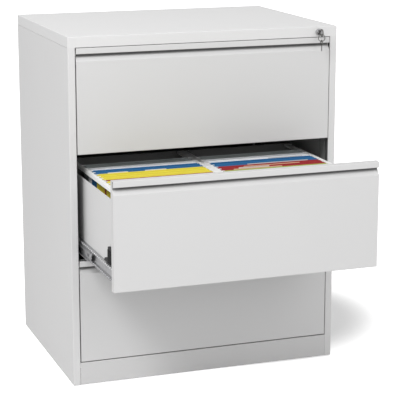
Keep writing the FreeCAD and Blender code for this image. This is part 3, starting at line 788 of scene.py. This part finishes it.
@dataclass
class Folder:
    """A stack of hanging folders of one colour in one column.

    Attributes:
        card: The folders' colour.
        column: The column of the drawer that they hang in.
        first: Depth of the first folder behind the drawer front, in millimetres.
        count: Number of folders.
        pitch: Distance from one folder to the next, in millimetres.
        filled: Whether sheets of paper stand above the card.
    """

    card: CardColour
    column: Side
    first: float
    count: int
    pitch: float
    filled: bool = False

    half_body: float = 158.0
    hang: float = 225.0
    top: float = 250.2
    hem_top: float = 251.2
    card_sheet: float = 0.6
    cover_pitch: float = 2.1

    @property
    def label(self) -> str:
        """Name that the pieces of this stack share."""
        return f"{self.card.name.lower()}_{self.column.name.lower()}_{int(self.first)}"

    def _at(self, x: float, depth: float, level: float) -> Point:
        """Turn millimetres in the drawer into a point of the frame."""
        middle = COLUMN_CENTRE * self.column.value
        drawer = Drawer.MIDDLE
        return ((middle + x) * MM, drawer.front + depth * MM, drawer.floor + level * MM)

    def _leaf(self, name: str, lean: float, top: float, sheet: float = 0.6) -> bpy.types.Mesh:
        """One upright leaf of card that leans towards the fold at the bottom.

        Args:
            name: The mesh's name.
            lean: Depth of the leaf's foot beyond its top, in millimetres.
            top: Level of its upper edge, in millimetres.
            sheet: Thickness of the leaf, in millimetres.

        Returns:
            The leaf's mesh, a thin curved sheet.
        """
        form = bmesh.new()
        rows, columns = 7, 9
        grid = []
        for row in range(rows):
            share = row / (rows - 1)
            line = []
            for column in range(columns):
                across = -1 + 2 * column / (columns - 1)
                belly = 1.2 * math.sin(math.pi * share) * (1 - across * across)
                depth = self.first + lean * share**1.6 + belly
                line.append(
                    form.verts.new(self._at(across * self.half_body, depth, top - self.hang * share))
                )
            grid.append(line)
        for row in range(rows - 1):
            for column in range(columns - 1):
                form.faces.new(
                    (
                        grid[row][column],
                        grid[row][column + 1],
                        grid[row + 1][column + 1],
                        grid[row + 1][column],
                    )
                )
        bmesh.ops.recalc_face_normals(form, faces=form.faces)
        bmesh.ops.solidify(form, geom=form.faces[:], thickness=sheet * MM)
        mesh = Workshop.kept(name, form)
        mesh.shade_smooth()
        mesh.set_sharp_from_angle(angle=math.radians(30))
        return mesh

    def build(self) -> list[bpy.types.Object]:
        """Make the leaves, the sheets between them and the hanger bars, and return them."""
        step = Vector((0, self.pitch * MM, 0))
        finish = self.card.value
        width = self.pitch - 2.0
        made = []
        lean_front = width * 0.45
        front = self._leaf(self.label + "_front", lean_front, self.top)
        made.append(RowOfCopies(self.label + "_front_leaves", front, self.count, step, finish).build())
        inner_count = max(2, int((width - 5.0) / self.cover_pitch))
        inner_step = Vector((0, (width - 5.0) / inner_count * MM, 0))
        for number in range(self.count):
            first = self.first
            self.first = first + number * self.pitch + 2.6
            sheets = self._leaf(f"{self.label}_sheets", lean_front * 0.4, self.top - 1.2, 1.9)
            self.first = first
            kind = PAPER if self.filled else finish
            made.append(
                RowOfCopies(
                    f"{self.label}_sheets_{number}",
                    sheets,
                    inner_count,
                    inner_step,
                    kind,
                    Vector((0.0010, 0.0001, 0.0006)),
                    number + int(first),
                ).build()
            )
        for part, depth in (("near", 0.0), ("far", width - 2.2)):
            bar = self._hanger(f"{self.label}_{part}_bar", depth)
            made.append(RowOfCopies(f"{self.label}_{part}_bars", bar, self.count, step, HANGER).build())
            hem = self._hem(f"{self.label}_{part}_hem", depth)
            made.append(RowOfCopies(f"{self.label}_{part}_hems", hem, self.count, step, finish).build())
        first = self.first
        self.first = first + width - 0.8
        back = self._leaf(self.label + "_back", -lean_front * 0.9, self.top)
        self.first = first
        made.append(RowOfCopies(self.label + "_back_leaves", back, self.count, step, finish).build())
        for piece in made:
            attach(piece, Drawer.MIDDLE.body)
        log.info("hung %d %s folders", self.count, self.card.name.lower())
        return made

    def _hanger(self, name: str, depth: float) -> bpy.types.Mesh:
        """Make the bar along the top of a leaf, with a hook at each end that sits on a rail."""
        reach = self.half_body + 9.0
        low, rail, high = self.top - 6.0, 249.35, 250.6
        outline = [
            (-reach, rail),
            (-reach + 12.0, rail),
            (-reach + 12.0, low),
            (reach - 12.0, low),
            (reach - 12.0, rail),
            (reach, rail),
            (reach, high),
            (-reach, high),
        ]
        corners = [self._at(x, self.first + depth + 0.4, level) for x, level in outline]
        return Workshop.bevelled(name, [(corners, Vector((0, 1.4 * MM, 0)))], 0.25 * MM)

    def _hem(self, name: str, depth: float) -> bpy.types.Mesh:
        """Make the fold of card over a bar, rounded along its top."""
        half = 1.1
        crown = [
            (half - half * math.cos(angle), self.hem_top - half + half * math.sin(angle))
            for angle in (math.pi * turn / 6 for turn in range(7))
        ]
        outline = [(0.0, self.top - 7.0), *crown, (2 * half, self.top - 7.0)]
        left = -self.half_body + 4.0
        corners = [self._at(left, self.first + depth + y, level) for y, level in outline]
        along = Vector(((self.half_body - 4.0) * 2 * MM, 0, 0))
        return Workshop.bevelled(name, [(corners, along)], 0.0)


@dataclass
class IndexTabs:
    """Label tabs that stand on the folders' front edges."""

    places: tuple[tuple[Side, float, float, float, Finish], ...] = (
        (Side.LEFT, 313.0, -128.0, 62.0, TAB),
        (Side.LEFT, 313.0, -20.0, 66.0, TAB),
        (Side.RIGHT, 355.0, 22.0, 110.0, TAB_BACK),
        (Side.RIGHT, 296.0, -66.0, 190.0, TAB_BACK),
        (Side.RIGHT, 270.0, -88.0, 175.0, PEACH_TAB),
        (Side.RIGHT, 256.0, -108.0, 96.0, TAB),
        (Side.RIGHT, 243.0, -128.0, 150.0, PEACH_TAB),
    )

    def build(self) -> None:
        """Make the tabs, each a bevelled plate that stands on the card."""
        for number, (column, depth, left, width, finish) in enumerate(self.places):
            middle = COLUMN_CENTRE * column.value
            floor = Drawer.MIDDLE.floor
            front = Drawer.MIDDLE.front
            corners = [
                ((middle + x) * MM, front + depth * MM, floor + level * MM)
                for x, level in (
                    (left, 246.0),
                    (left + width, 246.0),
                    (left + width - 2.0, 253.0),
                    (left + 2.0, 253.0),
                )
            ]
            mesh = Workshop.bevelled(f"index_tab_{number}", [(corners, Vector((0, 1.0 * MM, 0)))], 0.2 * MM)
            tab = Workshop.piece(f"index_tab_{number}", mesh, finish)
            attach(tab, Drawer.MIDDLE.body)
        log.info("made %d index tabs", len(self.places))


@dataclass
class HangingFiles:
    """Everything that hangs in the open drawer."""

    stacks: tuple[Folder, ...] = (
        Folder(CardColour.GREY, Side.LEFT, 402.0, 1, 46.0),
        Folder(CardColour.GREY, Side.RIGHT, 402.0, 1, 46.0),
        Folder(CardColour.WHITE, Side.LEFT, 368.0, 2, 16.0, True),
        Folder(CardColour.WHITE, Side.RIGHT, 356.0, 2, 22.0, True),
        Folder(CardColour.BLUE, Side.LEFT, 316.0, 2, 25.0),
        Folder(CardColour.BLUE, Side.RIGHT, 297.0, 2, 29.0),
        Folder(CardColour.YELLOW, Side.LEFT, 238.0, 3, 25.5),
        Folder(CardColour.YELLOW, Side.LEFT, 120.0, 4, 25.0),
        Folder(CardColour.BROWN, Side.LEFT, 222.0, 1, 15.0),
        Folder(CardColour.RED, Side.RIGHT, 243.0, 2, 26.5),
        Folder(CardColour.GREEN, Side.RIGHT, 150.0, 3, 30.5),
    )

    def build(self) -> None:
        """Make every stack, hide the solids that they replace, and add the tabs."""
        hidden: set[str] = set()
        for stack in self.stacks:
            pieces = stack.build()
            node = f"{stack.card.name.lower()}_folders"
            if node not in hidden:
                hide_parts(node)
                hidden.add(node)
        IndexTabs().build()


@dataclass
class ReleaseLevers:
    """Ribbed black levers that unhook a drawer from its slides."""

    depth: float = 0.022
    length: float = 0.110
    notch: float = 0.074
    level: float = 0.058
    height: float = 0.046
    thick: float = 0.009
    side: float = 0.358
    ribs: int = 22

    def build(self) -> None:
        """Make a lever and its ribs on each side of each drawer."""
        for drawer in Drawer:
            for side in Side:
                self._lever(drawer, side)

    def _lever(self, drawer: Drawer, side: Side) -> None:
        """Make one lever, with its ribs."""
        start = drawer.front + self.depth
        low = drawer.floor + self.level
        face = side.value * (self.side + 0.0002)
        out = Vector((side.value * (self.thick - 0.0016), 0, 0))
        notch = self.notch
        outline = [
            (0.0, 0.0),
            (self.length, 0.0),
            (self.length - self.thick, self.thick),
            (notch, self.thick * 1.6),
            (notch * 0.97, self.height),
            (0.0, self.height - self.thick * 0.6),
        ]
        corners = [(face, start + y, low + z) for y, z in outline]
        name = f"lever_{drawer.value}_{side.name.lower()}"
        mesh = Workshop.bevelled(name, [(corners, out)], 0.0008)
        lever = Workshop.piece(name, mesh, BLACK)
        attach(lever, drawer.body)
        if side is Side.LEFT:
            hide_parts(f"release_levers_{drawer.value}")
        outer = face + out.x
        rib = [
            (outer, start + 0.0025, low + 0.003),
            (outer, start + 0.0040, low + 0.003),
            (outer, start + 0.0040, low + self.height * 0.84),
            (outer, start + 0.0025, low + self.height * 0.84),
        ]
        unit = Workshop.bevelled(name + "_rib", [(rib, Vector((side.value * 0.0013, 0, 0)))], 0.0003)
        ribs = RowOfCopies(name + "_ribs", unit, self.ribs, Vector((0, 0.0032, 0)), BLACK).build()
        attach(ribs, drawer.body)
        log.info("made %s", name)


def slide_rows() -> Iterator[tuple[Drawer, Side, int, str]]:
    """Give the drawer, the side, 1 or -1 for up or down, and a tag, of each row of each slide."""
    for drawer in Drawer:
        for side in Side:
            for up, word in ((1, "upper"), (-1, "lower")):
                yield drawer, side, up, f"{drawer.value}_{side.name.lower()}_{word}"


@dataclass
class BallRows:
    """Balls in the strips and cages of the slides: the upper rows a plain white as a painted highlight, the
    lower in slide steel.
    """

    radius: float = 0.0027
    row: float = 0.016
    strip_x: float = 0.3645
    cage_x: float = 0.3733
    strip_start: float = 0.0455
    cage_start: float = 0.145
    spacing: float = 0.0150

    def build(self) -> None:
        """Make the rows of balls of every slide."""
        for row in slide_rows():
            self._row(*row)

    def _row(self, drawer: Drawer, side: Side, up: int, tag: str) -> None:
        """Make one row in the drawer's strip and one in the rolling cage."""
        level = drawer.floor + SLIDE_LEVEL + up * self.row
        cage_front = FRONT_Y - OPENED[drawer.value] / 4
        rows = (
            ("strip", self.strip_x, drawer.front + self.strip_start, 33, drawer.body),
            ("cage", self.cage_x, cage_front + self.cage_start, 15, f"ball_cage_{drawer.value}"),
        )
        for kind, across, depth, count, body in rows:
            name = f"{kind}_balls_{tag}"
            centre = (side.value * across, depth, level)
            # Upper rows white as a painted highlight, lower rows in the darker slide steel.
            finish = HIGHLIT_BALL if up > 0 else SLIDE
            row = RowOfCopies(name, self._ball(name, centre), count, Vector((0, self.spacing, 0)), finish)
            made = row.build()
            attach(made, body)
            log.info("made %s", name)

    def _ball(self, name: str, centre: Point) -> bpy.types.Mesh:
        """Make one ball, a smooth sphere."""
        form = bmesh.new()
        bmesh.ops.create_icosphere(
            form, subdivisions=2, radius=self.radius, matrix=Matrix.Translation(Vector(centre))
        )
        mesh = Workshop.kept(name + "_unit", form)
        mesh.shade_smooth()
        return mesh


@dataclass
class SlideBeads:
    """Pressed beads that stiffen the web of each drawer member."""

    web: float = 0.3591
    spread: float = 0.0085
    radius: float = 0.0018
    start: float = 0.026
    length: float = 0.500

    def build(self) -> None:
        """Make the upper and the lower bead of every drawer member."""
        for row in slide_rows():
            self._bead(*row)

    def _bead(self, drawer: Drawer, side: Side, up: int, tag: str) -> None:
        """Make one bead, half round and as long as its member."""
        level = drawer.floor + SLIDE_LEVEL + up * self.spread
        outline = []
        for turn in range(9):
            angle = math.pi * turn / 8
            out = self.web + self.radius * math.sin(angle)
            outline.append(
                (side.value * out, drawer.front + self.start, level + self.radius * math.cos(angle))
            )
        name = f"bead_{tag}"
        mesh = Workshop.bevelled(name, [(outline, Vector((0, self.length, 0)))], 0.0)
        bead = Workshop.piece(name, mesh, SLIDE)
        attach(bead, drawer.body)
        log.info("made %s", name)


@dataclass
class Rivets:
    """Domed rivets that hold the slide members to the drawer sides and the posts."""

    radius: float = 0.0042
    dome: float = 0.0008

    def build(self) -> None:
        """Make the rows of rivets on both members of every slide."""
        for drawer in Drawer:
            for side in Side:
                self._row(drawer, side)

    def _row(self, drawer: Drawer, side: Side) -> None:
        """Make the rivets of one slide."""
        level = drawer.floor + SLIDE_LEVEL
        outward = Vector((side.value, 0, 0))
        start = (side.value * 0.3593, drawer.front + 0.045, level)
        profile = [(0.0, self.dome), (0.002, self.dome * 0.8), (self.radius, 0.0), (self.radius, -0.0002)]
        profile.append((0.0, -0.0002))
        name = f"rivets_{drawer.value}_{side.name.lower()}"
        unit = Workshop.turned(name + "_unit", profile, start, outward, 20)
        row = RowOfCopies(name, unit, 5, Vector((0, 0.110, 0)), ZINC).build()
        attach(row, drawer.body)
        log.info("made %s", name)


@dataclass
class LockDetails:
    """The turned lock housing, and the spare key that hangs on the ring."""

    place: Point = (0.342, -0.139, 0.984)
    bore: float = 0.0061
    barrel: float = 0.0080
    flange: float = 0.0095
    flange_depth: float = 0.0089
    barrel_end: float = 0.0249
    thread_pitch: float = 0.0014
    thread_depth: float = 0.0005
    threads: int = 9
    ring_floor: float = 0.9600
    ring_depth: float = -0.1530
    hole: float = 0.0036
    bow: float = 0.0078
    plate: float = 0.0018
    blade: float = 0.0048
    key_end: float = 0.9315

    def build(self) -> None:
        """Make the housing and the spare key."""
        self._housing()
        self._spare_key()

    def _housing(self) -> None:
        """Turn the housing: a chamfered flange on the cover, and a threaded barrel behind it."""
        start = self.flange_depth + 0.002
        profile = [
            (self.bore, 0.0006),
            (self.bore + 0.0006, 0.0),
            (self.barrel, 0.0),
            (self.flange, 0.0022),
            (self.flange, self.flange_depth),
            (self.barrel, self.flange_depth),
            (self.barrel, start),
        ]
        for turn in range(self.threads):
            along = start + turn * self.thread_pitch
            profile.append((self.barrel - self.thread_depth, along + self.thread_pitch / 2))
            profile.append((self.barrel, along + self.thread_pitch))
        profile += [(self.barrel, self.barrel_end), (self.bore, self.barrel_end), (self.bore, 0.0006)]
        mesh = Workshop.turned("turned_housing", profile, self.place, Vector((0, 1, 0)), 40)
        housing = Workshop.piece("turned_housing", mesh, CHROME)
        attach(housing, "carcass")
        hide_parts("lock_housing")
        log.info("made the lock housing")

    def _spare_key(self) -> None:
        """Make the second key, edge on to the drawers, with its bow on the ring's wire."""
        across = self.place[0]
        half = self.plate / 2
        middle = self.ring_floor - self.hole
        washer = [
            (self.hole, -half),
            (self.bow, -half),
            (self.bow, half),
            (self.hole, half),
            (self.hole, -half),
        ]
        centre = (across, self.ring_depth, middle)
        bow = Workshop.turned("spare_key_bow", washer, centre, Vector((1, 0, 0)), 28)
        top = middle - self.bow + 0.0005
        step = (top - self.key_end) / 6
        edge = [(self.blade / 2 - cut, top - step * number) for number, cut in enumerate(
            (0.0, 0.0006, 0.0018, 0.0004, 0.0014, 0.0008, 0.0020)
        )]
        outline = [(-self.blade / 2, self.key_end), (-self.blade / 2, top), *edge]
        corners = [(across - half, self.ring_depth + y, z) for y, z in outline]
        blade = Workshop.bevelled("spare_key_blade", [(corners, Vector((self.plate, 0, 0)))], 0.0002)
        for name, mesh in (("spare_key_bow", bow), ("spare_key_blade", blade)):
            piece = Workshop.piece(name, mesh, NICKEL)
            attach(piece, "key_ring")
        log.info("hung the spare key")


@dataclass
class Studio:
    """Floor, light and camera."""

    focal: float = 134.3
    shift: float = -0.05
    place: Point = (-1.4180, -3.9051 + FRONT_Y, 1.4956)
    pitch: float = 12.50
    yaw: float = -19.71
    floor_colour: float = 0.80
    # The floor glows to the camera, least round shade_centre, so the cabinet's lit shadow shows only there:
    # painted light.
    floor_glow: float = 0.12
    shade_centre: Point = (0.30, 0.33, 0.0)
    shade_near: float = 0.31
    shade_far: float = 0.56

    def build(self) -> None:
        """Make the studio."""
        self._camera()
        self._floor()
        self._lights()

    def _camera(self) -> None:
        """Stand the camera where the photograph was taken from."""
        data = bpy.data.cameras.new("photo_camera")
        data.lens = self.focal
        data.sensor_width = 36.0
        data.shift_y = self.shift
        data.clip_end = 100.0
        camera = bpy.data.objects.new("photo_camera", data)
        camera.location = self.place
        camera.rotation_euler = (math.radians(90 - self.pitch), 0, math.radians(self.yaw))
        bpy.context.scene.collection.objects.link(camera)
        bpy.context.scene.camera = camera

    def _floor(self) -> None:
        """Lay a pale floor that glows white to the camera, least round shade_centre, where the cabinet's lit
        shadow shows: painted light.
        """
        mesh = bpy.data.meshes.new("floor")
        reach = 30.0
        mesh.from_pydata(
            [(-reach, -reach, 0), (reach, -reach, 0), (reach, reach, 0), (-reach, reach, 0)],
            [],
            [(0, 1, 2, 3)],
        )
        floor = bpy.data.objects.new("floor", mesh)
        bpy.context.scene.collection.objects.link(floor)
        made = bpy.data.materials.new("pale_floor")
        made.use_nodes = True
        wiring = Wiring(made.node_tree)
        place = wiring.add("ShaderNodeTexCoord").outputs["Object"]
        from_centre = {0: place, 1: self.shade_centre}
        centre = wiring.add("ShaderNodeVectorMath", from_centre, operation="SUBTRACT")
        away = {0: centre.outputs["Vector"]}
        distance = wiring.add("ShaderNodeVectorMath", away, operation="LENGTH")
        glow = wiring.add(
            "ShaderNodeMapRange",
            {
                "Value": distance.outputs["Value"],
                "From Min": self.shade_near,
                "From Max": self.shade_far,
                "To Min": self.floor_glow,
                "To Max": 1.0,
            },
            interpolation_type="SMOOTHSTEP",
        )
        seen = wiring.add("ShaderNodeLightPath").outputs["Is Camera Ray"]
        wiring.fill(
            made.node_tree.nodes["Principled BSDF"],
            {
                "Base Color": (*(self.floor_colour,) * 3, 1),
                "Roughness": 0.9,
                "Emission Color": (1, 1, 1, 1),
                "Emission Strength": wiring.maths("MULTIPLY", seen, glow.outputs["Result"]),
            },
        )
        mesh.materials.append(made)

    def _lights(self) -> None:
        """Light the cabinet softly from the upper left, with a white surround."""
        world = bpy.data.worlds.new("studio")
        world.use_nodes = True
        bpy.context.scene.world = world
        nodes = world.node_tree.nodes
        wiring = Wiring(world.node_tree)
        ambient = nodes["Background"]
        wiring.fill(ambient, {"Color": (1, 1, 1, 1), "Strength": 0.60})
        white = wiring.add("ShaderNodeBackground", {"Color": (1, 1, 1, 1), "Strength": 1.0})
        seen = wiring.add("ShaderNodeLightPath").outputs
        direct = wiring.maths("MAXIMUM", seen["Is Camera Ray"], seen["Is Glossy Ray"])
        direct = wiring.maths("MAXIMUM", direct, seen["Is Transmission Ray"])
        mix = wiring.add(
            "ShaderNodeMixShader",
            {"Fac": direct, 1: ambient.outputs["Background"], 2: white.outputs["Background"]},
        )
        wiring.fill(nodes["World Output"], {"Surface": mix.outputs["Shader"]})
        self._lamp("key_light", (-2.8, -2.4, 4.2), (0.0, 0.0, 0.5), 1.6, 125.0)
        self._lamp("low_light", (1.0, -3.6, 0.3), (0.2, 0.0, 0.1), 1.0, 6.0)
        self._lamp("front_light", (1.5, -5.0, 3.0), (0.0, -0.3, 0.5), 2.5, 48.0)

    @staticmethod
    def _lamp(name: str, place: Point, aim: Point, size: float, power: float) -> None:
        """Hang a square soft lamp.

        Args:
            name: The lamp's name.
            place: Where it hangs.
            aim: The point that it faces.
            size: Length of its sides, in metres.
            power: Its power, in watts.
        """
        data = bpy.data.lights.new(name, "AREA")
        data.size = size
        data.energy = power
        lamp = bpy.data.objects.new(name, data)
        lamp.location = place
        lamp.rotation_euler = (Vector(aim) - Vector(place)).to_track_quat("-Z", "Y").to_euler()
        bpy.context.scene.collection.objects.link(lamp)


def main() -> None:
    """Load the frame, and build the studio and the pieces."""
    logging.basicConfig(level=logging.INFO, format="%(name)s %(message)s")
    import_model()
    bpy.context.scene.view_settings.view_transform = "Standard"
    Studio().build()
    PaintedSteel().dress()
    for drawer in Drawer:
        DrawerFront(drawer).build()
    HangingFiles().build()
    ReleaseLevers().build()
    SlideBeads().build()
    Rivets().build()
    BallRows().build()
    LockDetails().build()


if __name__ == "__main__":
    main()
